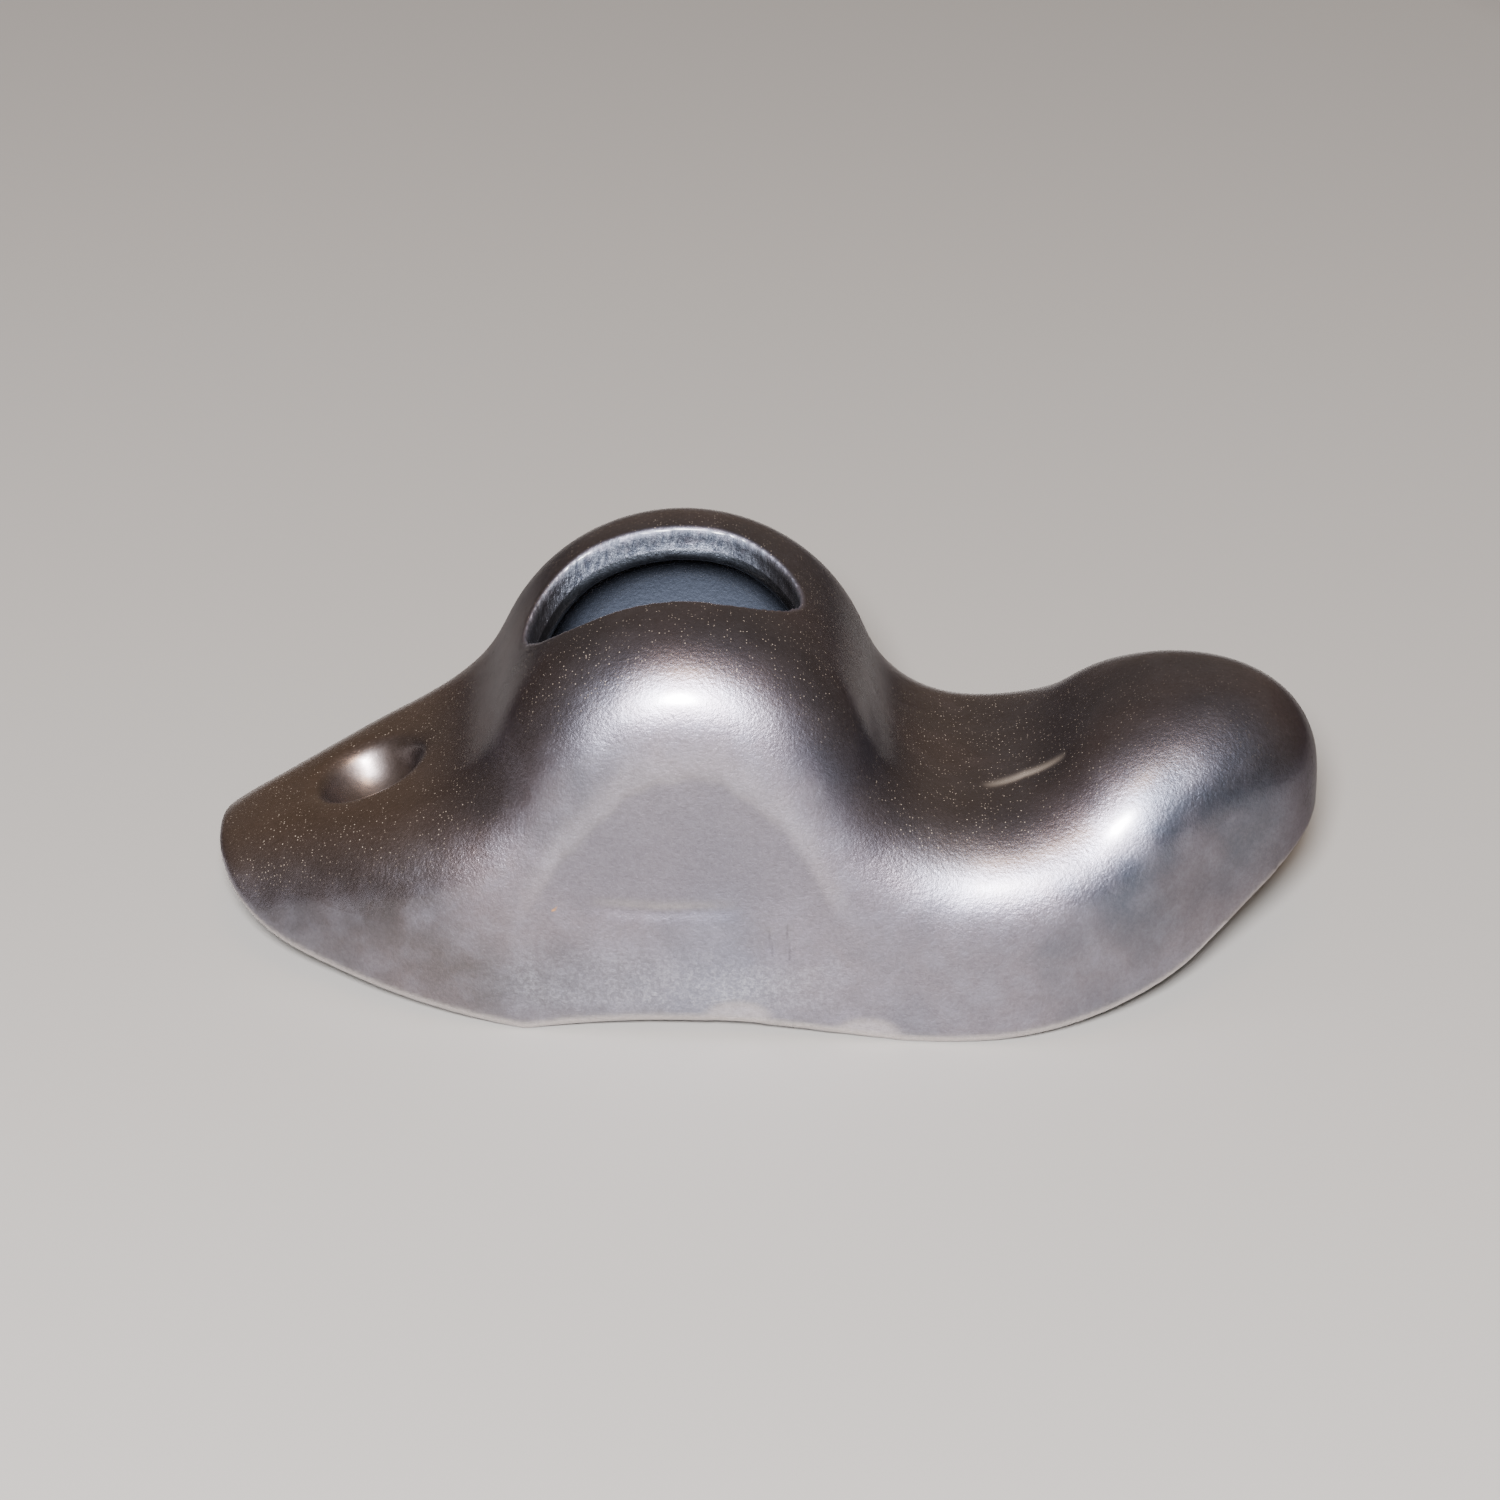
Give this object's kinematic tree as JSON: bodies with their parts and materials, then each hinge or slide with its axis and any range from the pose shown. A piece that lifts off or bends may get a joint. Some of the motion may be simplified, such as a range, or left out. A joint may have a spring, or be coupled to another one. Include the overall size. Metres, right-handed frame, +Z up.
{
  "type": "rocker arm",
  "caption": "Stamped steel rocker arm, stud mounted: boat-shaped trough with an arched pivot seat and stud slot, a spherical pushrod cup and a rounded valve pad.",
  "frame": {"origin": "bottom centre of the arm's box: on the surface that the rims of the side walls stand on", "axes": "+Z up out of the trough's back, +X from the pushrod cup towards the valve pad, Y across the arm"},
  "size_m": [0.0838, 0.0322, 0.0318],
  "materials": {
    "pressed_steel": "tumbled, case-hardened pressed steel with a thin film of oil: satin grey walls, dark mirror-like top, bright sheared edge in the slot"
  },
  "bodies": {
    "root": {"rocker_arm": "pressed_steel"}
  },
  "joints": []
}
